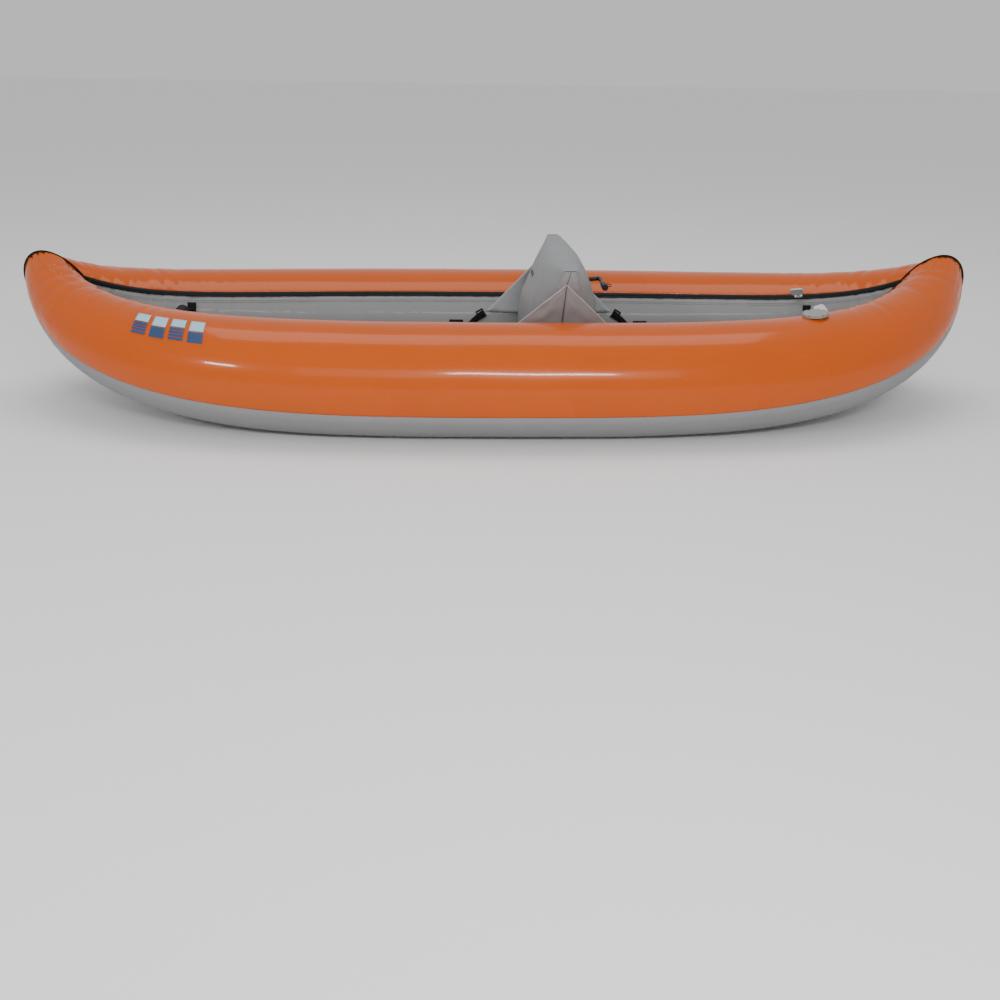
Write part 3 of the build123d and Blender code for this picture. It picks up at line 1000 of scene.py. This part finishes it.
# ---- handles -------------------------------------------------------------------------------
@dataclass
class Handle:
    """A carry handle: webbing across the cockpit through a ribbed grip."""

    name: str
    grip_offset: float = -0.026
    grip_half: float = 0.065

    def build(self, ribs: PathRepeater) -> None:
        """Make the webbing and the grip's ribs; the grip keeps its CAD shape.

        Args:
            ribs: Sets the collars of the grip.
        """
        small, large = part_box(f"{self.name}_handle_grip")
        core = (Vector(small) + Vector(large)) / 2
        radius = (large[0] - small[0]) / 2 + 0.0011
        ribbed = large[1] - small[1] - 0.024
        run = [Vector((core.x, small[1] + 0.012 + ribbed * k / 20, core.z)) for k in range(21)]
        collar = (0.0034, radius, 0)
        rings = ribs.run(f"{self.name}_grip_ribs", run, [Vector((0, 0, 1))], 0.0078, collar, RUBBER, 3)
        dress(rings, RUBBER, f"{self.name}_handle")
        low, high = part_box(f"{self.name}_handle_strap")
        x = (low[0] + high[0]) / 2
        z = low[2] + 0.00125
        top = high[2] - 0.00125
        reach = high[1] + 0.001
        near, far = self.grip_offset - self.grip_half, self.grip_offset + self.grip_half
        places = ((-reach, z), (near - 0.006, top - 0.002), (near + 0.01, top), (far - 0.01, top),
                  (far + 0.006, top - 0.001), (reach * 0.8, z + 0.009), (reach, z))
        points = [Vector((x, y, height)) for y, height in places]
        path = smooth_path(points, 60)
        strap = strip(f"{self.name}_handle_webbing", path, [LENGTHWISE], 0.025, 0.0023)
        dress(strap, WEBBING, f"{self.name}_handle", f"{self.name}_handle_strap")
        for side in Side:
            name = f"{self.name}_handle_anchor_{side.word}"
            wall_patch(name, side, x, (66, 74, 84, 96), 1, 0.034, 0.0022, 12)


# ---- backrest ------------------------------------------------------------------------------
@dataclass
class Backrest:
    """The inflated backrest with crimped ends, piped gussets, side flaps and straps."""

    top_x: float = 0.176
    base_x: float = 0.162
    base_z: float = 0.110
    top_z: float = 0.446
    reach: float = 0.198
    wing_side: float = 0.209
    flap_cloth: float = 0.0018
    folds: tuple = (
        (-0.125, 0.0062, 0.008), (-0.102, 0.0042, 0.006), (0.010, 0.0064, 0.008),
        (-0.012, 0.0034, 0.005), (0.085, 0.0048, 0.007), (0.118, 0.0056, 0.007))
    sections: tuple = (
        (0.000, 0.062, 0.195, 0.040), (0.030, 0.098, 0.202, 0.056), (0.095, 0.115, 0.206, 0.064),
        (0.145, 0.117, 0.218, 0.062), (0.180, 0.115, 0.230, 0.058), (0.210, 0.109, 0.246, 0.052),
        (0.246, 0.094, 0.264, 0.042), (0.285, 0.077, 0.288, 0.030), (0.316, 0.058, 0.301, 0.021),
        (0.336, 0.038, 0.303, 0.020))

    def section(self, rise: float) -> tuple[float, float, float]:
        """Half width, half length and half end width at a height over the base.

        Args:
            rise: Height over the base.

        Returns:
            The three sizes in metres.
        """
        for low, high in zip(self.sections, self.sections[1:]):
            if rise <= high[0] + 1e-9:
                t = (rise - low[0]) / (high[0] - low[0])
                return tuple(low[k] + (high[k] - low[k]) * t for k in (1, 2, 3))
        return self.sections[-1][1:]

    def shell(self, shrink: float) -> bpy.types.Object:
        """The closed starting shape, drawn in by a margin.

        Args:
            shrink: The margin.

        Returns:
            The mesh object.
        """
        rows = []
        height = self.top_z - self.base_z
        levels = 48
        for i in range(levels):
            rise = height * i / (levels - 1)
            width, length, end = self.section(rise)
            width, length = width - shrink, length - shrink * 0.6
            x0 = self.base_x + (self.top_x - self.base_x) * rise / height
            z = self.base_z + shrink * 0.5 + rise * (height - shrink) / height
            tuck = 0.020 * ramp(0.295 - rise, 0.0, 0.08)
            ring = []
            for sign in (1, -1):
                for k in range(40):
                    t = -1 + 2 * k / 40
                    y = sign * t * length
                    bulge = end + (width - end) * (1 - t * t)
                    ring.append(Vector((x0 + sign * bulge, y, z)))
                for k in range(8):
                    w = 1 - 2 * k / 8
                    y = sign * (length - tuck * (1 - abs(w)))
                    ring.append(Vector((x0 + sign * end * w, y, z)))
            rows.append(ring)
        return outward(grid("backrest_cushion", rows, ring=True, capped=True))

    def wrinkle(self, co: Vector) -> float:
        """Depth of the folds that run across the cushion.

        Args:
            co: A place on the cushion.

        Returns:
            Height over the smooth cushion, below zero in a fold.
        """
        top = ramp(co.z, 0.33, 0.42)
        depth = 0.0
        for y, strength, spread in self.folds:
            bend = y + 0.012 * noise.noise(Vector((co.x * 9, y * 30, 1.0)))
            depth -= strength * top * math.exp(-((co.y - bend) / spread) ** 2)
        side = 1 - top
        depth -= 0.0030 * side * ridge(co.y * 7, co.z * 2.5, 3.0)
        return depth + 0.0018 * noise.noise(co * 9.0)

    def cushion(self) -> bpy.types.Object:
        """Inflate the shell with cloth and add its folds.

        Returns:
            The mesh object.
        """
        obj = self.shell(0.003)
        remesh = obj.modifiers.new("voxels", "REMESH")
        remesh.mode = "VOXEL"
        remesh.voxel_size = 0.006
        bake(obj)
        rest = [v.co.copy() for v in obj.data.vertices]
        group = obj.vertex_groups.new(name="pin")
        for i, co in enumerate(rest):
            hold = ramp(abs(co.y), 0.262, 0.290)
            if hold > 0 or co.z < self.base_z + 0.01:
                group.add([i], max(hold, 1.0 if co.z < self.base_z + 0.01 else 0.0), "REPLACE")
        cloth = obj.modifiers.new("air", "CLOTH")
        cloth.settings.use_pressure = True
        cloth.settings.uniform_pressure_force = 4.0
        cloth.settings.effector_weights.gravity = 0.0
        cloth.settings.quality = 5
        cloth.settings.vertex_group_mass = "pin"
        cloth.point_cache.frame_end = 20
        for step in range(1, 21):
            bpy.context.scene.frame_set(step)
        graph = bpy.context.evaluated_depsgraph_get()
        moved = [v.co.copy() for v in obj.evaluated_get(graph).data.vertices]
        obj.modifiers.clear()
        for i, vertex in enumerate(obj.data.vertices):
            step = moved[i] - rest[i]
            if step.length > 0.007:
                step *= 0.007 / step.length
            vertex.co = rest[i] + step
        bpy.context.scene.frame_set(1)
        smooth = obj.modifiers.new("even", "SMOOTH")
        smooth.factor = 0.5
        smooth.iterations = 6
        finer = obj.modifiers.new("finer", "SUBSURF")
        finer.levels = finer.render_levels = 1
        bake(obj)
        normals = [v.normal.copy() for v in obj.data.vertices]
        for vertex, n in zip(obj.data.vertices, normals):
            vertex.co += n * self.wrinkle(vertex.co)
            if vertex.co.z > self.top_z + 0.006:
                vertex.co.z = self.top_z + 0.006
        return obj

    def on_cushion(self, tree: BVHTree, points: list, lift: float) -> list:
        """Drop points onto the cushion and lift them a little off it.

        Args:
            tree: The cushion, ready for searching.
            points: The points to drop.
            lift: Height over the cushion.

        Returns:
            The points on the cushion.
        """
        result = []
        for p in points:
            spot, normal, _, _ = tree.find_nearest(p)
            result.append(spot + normal * lift)
        return result

    def panel_corners(self, side: Side, direction: int) -> tuple[Vector, Vector, Vector]:
        """Apex, stitched tip and lower middle of one half of an end panel.

        Args:
            side: Which end of the backrest.
            direction: -1 for the half towards the bow, 1 towards the stern.

        Returns:
            The three corners.
        """
        y = side.value
        top = Vector((self.top_x - 0.008, 0.290 * y, 0.404))
        tip = Vector((self.base_x + direction * self.reach, self.wing_side * y, 0.214))
        return top, tip, Vector((self.base_x - 0.004, 0.216 * y, 0.203))

    def wing(self, side: Side, direction: int) -> bpy.types.Object:
        """One side flap, stretched from the crimped end to its corner.

        Args:
            side: Which end of the backrest.
            direction: -1 for the half towards the bow, 1 towards the stern.

        Returns:
            The mesh object with its wall.
        """
        y = side.value
        top, tip, low = self.panel_corners(side, direction)
        out = (tip - top).cross(low - top).normalized()
        if out.y * y < 0:
            out = -out
        rows = []
        for i in range(26):
            f = i / 25
            a = top.lerp(tip, f)
            b = top.lerp(low, f)
            row = []
            for k in range(17):
                g = k / 16
                billow = math.sin(math.pi * f) * math.sin(math.pi * g)
                fold = 0.006 * billow * noise.noise(Vector((f * 5, g * 3, direction + y)))
                scoop = -0.010 * ramp(f, 0.6, 1.0) * math.exp(-((g - 0.75) / 0.18) ** 2) * (1 - g)
                row.append(a.lerp(b, g) + out * (0.004 * billow + fold + scoop))
            rows.append(row)
        place = "bow" if direction < 0 else "stern"
        obj = grid(f"seat_flap_{side.word}_{place}", rows, uv_step=(0.01, 0.006))
        bm = bmesh.new()
        bm.from_mesh(obj.data)
        bmesh.ops.remove_doubles(bm, verts=bm.verts, dist=1e-5)
        bm.to_mesh(obj.data)
        bm.free()
        return thicken(facing(obj, sum(p.normal.dot(out) for p in obj.data.polygons)), self.flap_cloth)

    def build(self, repeater: PathRepeater) -> None:
        """Make the whole backrest.

        Args:
            repeater: Sets the stitches.
        """
        body = "backrest"
        cushion = self.cushion()
        mesh = cushion.data
        tree = BVHTree.FromPolygons([v.co for v in mesh.vertices], [p.vertices for p in mesh.polygons])
        dress(cushion, SEAT, body, "seat_cover", "seat_air_cell")
        for side in Side:
            y = side.value
            top, _, low = self.panel_corners(side, 1)
            for label, direction in (("bow", -1), ("stern", 1)):
                tip = self.panel_corners(side, direction)[1]
                line = [top.lerp(tip, k / 30) for k in range(31)]
                piping = round_cord(f"panel_piping_{side.word}_{label}", line, 0.0016)
                dress(piping, PALE, body, suffix="_piping")
            line = [top.lerp(low, k / 30) + Vector((0, 0.0008 * y, 0)) for k in range(31)]
            dress_thread(round_cord(f"panel_seam_{side.word}", line, 0.0013), body)
            seam = [Vector((self.top_x + 0.001, 0.308 * y, 0.440)).lerp(top, k / 16) for k in range(17)]
            line = self.on_cushion(tree, seam, 0.0003)
            dress_thread(round_cord(f"end_seam_{side.word}", line, 0.0010), body)
            crimp = [Vector((self.top_x - 0.020 + 0.040 * k / 12, 0.304 * y, 0.4455)) for k in range(13)]
            line = self.on_cushion(tree, crimp, 0.0008)
            dress_thread(round_cord(f"crimp_weld_{side.word}", line, 0.0014), body)
            for place, direction in (("bow", -1), ("stern", 1)):
                self.side_rig(side, place, direction, repeater)
        for k in range(7):
            y0 = -0.030 + 0.011 * k
            dash = [Vector((0.070, y0, 0.395 - 0.012 * j / 8)) for j in range(9)]
            mark = self.on_cushion(tree, dash, 0.0006)
            dress_thread(round_cord(f"cushion_mark_{k}", mark, 0.0013), body)
        root = tree.find_nearest(Vector((0.268, 0.004, 0.364)))[0]
        low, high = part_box("seat_inflation_tube")
        axis = Vector(((low[0] + high[0]) / 2, high[1] - 0.002, (low[2] + high[2]) / 2))
        turn = root.lerp(axis, 0.5) + Vector((0.006, 0.004, 0))
        bend = smooth_path([root - Vector((0.006, 0, 0)), turn, axis], 20)
        dress(round_cord("hose_elbow", bend, 0.0062), BUCKLE, body)
        self.hose(body)

    def side_rig(self, side: Side, place: str, direction: int, repeater: PathRepeater) -> None:
        """One flap with its stitched corner and the strap that anchors it.

        Args:
            side: Which end of the backrest.
            place: Bow or stern.
            direction: -1 towards the bow, 1 towards the stern.
            repeater: Sets the stitches.
        """
        y = side.value
        flap = self.wing(side, direction)
        dress(flap, SEAT, "backrest", f"seat_wing_{side.word}_{place}")
        tip = Vector((self.base_x + direction * self.reach, (self.wing_side - 0.002) * y, 0.214))
        corners = ((0.012, 0.004), (0.030, 0.012), (0.034, 0.0), (0.016, -0.006), (0.012, 0.004))
        box_path = [tip + Vector((-direction * a, -0.0015 * y, b)) for a, b in corners]
        stitch, inwards = (0.0026, 0.0008, 0.001), [Vector((0, -y, 0))]
        name = f"flap_stitches_{side.word}_{place}"
        stitches = repeater.run(name, box_path, inwards, 0.004, stitch, THREAD, 21)
        dress_thread(stitches, "backrest")
        start = Vector((tip.x + direction * 0.008, 0.2055 * y, 0.211))
        end = Vector((tip.x + direction * 0.098, 0.2035 * y, 0.128))
        bend = [start, start.lerp(end, 0.33) + Vector((0, 0, 0.003)), start.lerp(end, 0.7), end]
        name, across = f"seat_strap_web_{side.word}_{place}", [Vector((direction * 0.68, 0, 0.73))]
        strap = strip(name, smooth_path(bend, 40), across, 0.020, 0.0019)
        strap.data.materials.append(WEBBING.material())
        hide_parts(f"seat_strap_{side.word}_{place}")
        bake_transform(strap)
        name = f"seat_anchor_{side.word}_{place}"
        wall_patch(name, side, end.x, (80, 92, 104, 113), 2, 0.044, 0.0024, 14)

    def hose(self, body: str) -> None:
        """Bands and the tether loop of the mouth inflation hose.

        Args:
            body: The CAD body that they ride on.
        """
        low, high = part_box("seat_valve_body")
        centre = Vector(((low[0] + high[0]) / 2, 0, (low[2] + high[2]) / 2))
        for k, y in enumerate((-0.070, -0.078, high[1] + 0.004)):
            ring = round_band(f"hose_band_{k}", centre + Vector((0, y, 0)), 0.0072, 0.004)
            dress(ring, VALVE, body)
        turns = [math.pi * k / 30 for k in range(31)]
        loop = [centre + Vector((0.016 * math.sin(t) + 0.006, -0.075 - 0.022 * (1 - math.cos(t)), 0))
                for t in turns]
        dress(round_cord("valve_tether", loop, 0.0013), BUCKLE, body)


def round_band(name: str, centre: Vector, radius: float, length: float) -> bpy.types.Object:
    """A short band round a hose that runs across the boat.

    Args:
        name: Name of the piece.
        centre: Its middle.
        radius: Its outer radius.
        length: Its length along the hose.

    Returns:
        A closed mesh.
    """
    rows = []
    for y, r in ((-0.5, 0.86), (-0.5, 1.0), (0.5, 1.0), (0.5, 0.86)):
        turn = [2 * math.pi * k / 28 for k in range(28)]
        rows.append([centre + Vector((radius * r * math.cos(a), y * length, radius * r * math.sin(a)))
                     for a in turn])
    rows.append(rows[0])
    return outward(grid(name, rows, ring=True))


# ---- tube graphics -------------------------------------------------------------------------
@dataclass
class Badge:
    """A plain graphic on the outer shoulder of a tube: four slanted bars in blues."""

    side: Side
    start: float = -0.672
    stop: float = -0.528
    top: float = math.radians(-20)
    low: float = math.radians(-49)

    def bar(self, name: str, number: int, first: float, last: float, finish: Finish) -> None:
        """One part of a slanted bar.

        Args:
            name: Name of the piece.
            number: Which bar, from the bow.
            first: Where it starts from the top edge, as a share of the height.
            last: Where it ends.
            finish: Its colour.
        """
        rows = []
        pitch = (self.stop - self.start) / 4
        for i in range(9):
            g = first + (last - first) * i / 8
            row = []
            for k in range(9):
                f = 0.12 + 0.76 * k / 8
                u = self.start + pitch * (number + f) - 0.010 * (0.5 - g)
                row.append(LINE.point(u, self.top + (self.low - self.top) * g, 0.0016, self.side))
            rows.append(row)
        obj = grid(name, rows)
        inside = LINE.point(-0.6, 0.0, -LINE.wide * 0.9, self.side)
        facing(obj, sum((p.center - inside).dot(p.normal) * p.area for p in obj.data.polygons))
        dress(thicken(obj, 0.0005), finish, "hull", suffix=f"_{name[:5]}")

    def build(self) -> None:
        """Make the pale heads and the striped feet of the bars."""
        pale = Finish("orange_pvc", (0.36, 0.60, 0.72), 0.35, mottle=0.03)
        deep = Finish("orange_pvc", (0.012, 0.075, 0.19), 0.35, mottle=0.03)
        for number in range(4):
            head = 0.50 if number % 2 else 0.40
            self.bar(f"head__{self.side.word}_{number}", number, 0.0, head, pale)
            for k in range(4):
                first = head + 0.05 + (0.95 - head) * k / 4
                self.bar(f"foot__{self.side.word}_{number}_{k}", number, first, first + 0.095, deep)


# ---- studio --------------------------------------------------------------------------------
class Studio:
    """Pale floor, soft lights and the camera."""

    def floor(self) -> None:
        """A plain pale floor under the boat."""
        mat = bpy.data.materials.new("studio_floor")
        mat.use_nodes = True
        shader = mat.node_tree.nodes["Principled BSDF"]
        connect(mat.node_tree, shader, {"Base Color": (0.93, 0.93, 0.93, 1), "Roughness": 0.9})
        half = 20.0
        z = CAD_BOX[0][2] - 0.0005
        corners = [(-half, -half, z), (half, -half, z), (half, half, z), (-half, half, z)]
        obj = mesh_object("studio_floor", corners, [(0, 1, 2, 3)])
        obj.data.materials.append(mat)

    def light(self, name: str, place: tuple, aim: tuple, size: tuple, power: float) -> None:
        """Add one rectangular soft light.

        Args:
            name: Name of the light.
            place: Its position.
            aim: The point that it looks at.
            size: Width and height.
            power: Watts.
        """
        data = bpy.data.lights.new(name, "AREA")
        data.shape = "RECTANGLE"
        data.size, data.size_y = size
        data.energy = power
        obj = bpy.data.objects.new(name, data)
        obj.location = place
        obj.rotation_euler = (Vector(aim) - Vector(place)).to_track_quat("-Z", "Y").to_euler()
        bpy.context.scene.collection.objects.link(obj)

    def build(self) -> None:
        """Make the floor, the lights, the world and the camera."""
        self.floor()
        world = bpy.data.worlds.new("studio")
        world.use_nodes = True
        sky = world.node_tree.nodes["Background"]
        connect(world.node_tree, sky, {"Color": (1, 1, 1, 1), "Strength": 0.66})
        bpy.context.scene.world = world
        self.light("overhead", (0, 0.3, 3.6), (0, 0, 0), (4.0, 1.6), 46)
        self.light("front_soft", (0, -5.2, 2.6), (0, 0, 0.2), (4.5, 1.4), 26)
        self.light("streak_middle", (0.33, -3.4, 1.75), (0.1, -0.4, 0.2), (1.15, 0.12), 34)
        self.light("streak_bow", (-2.7, -3.2, 1.9), (-0.8, -0.4, 0.2), (0.5, 0.12), 22)
        data = bpy.data.cameras.new("view")
        data.lens = 41.87
        data.sensor_width = 36.0
        camera = bpy.data.objects.new("view", data)
        right = Vector((0.99913, -0.03865, 0.01577))
        up = Vector((0.00007, 0.37924, 0.92530))
        back = right.cross(up).normalized()
        turn = Matrix((right, up, back)).transposed().to_4x4()
        camera.matrix_world = Matrix.Translation((-0.14913, -3.45889, 1.06491)) @ turn
        bpy.context.scene.collection.objects.link(camera)
        bpy.context.scene.camera = camera


def dress_cad(record: dict) -> None:
    """Give every CAD node the finish of its material slot.

    Args:
        record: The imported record.
    """
    slots = {entry["node"]: entry["material_slot"] for entry in record["subparts"]}
    for name, obj in frame["nodes"].items():
        material = CAD_FINISHES[slots[name]].unwoven().material("_cad")
        if not obj.material_slots:
            obj.data.materials.append(None)
        for holder in obj.material_slots:
            holder.material = material


def main() -> None:
    """Build the boat piece by piece."""
    logging.basicConfig(level=logging.INFO)
    Studio().build()
    dress_cad(frame["record"])
    repeater = PathRepeater("blocks_along_path")
    ribs = PathRepeater("collars_along_path", ringed=True)
    for side in Side:
        TubeCover(side).build(repeater)
        Badge(side).build()
    Floor().build(repeater)
    for name in ("bow", "stern"):
        Handle(name).build(ribs)
    Backrest().build(repeater)


if __name__ == "__main__":
    main()
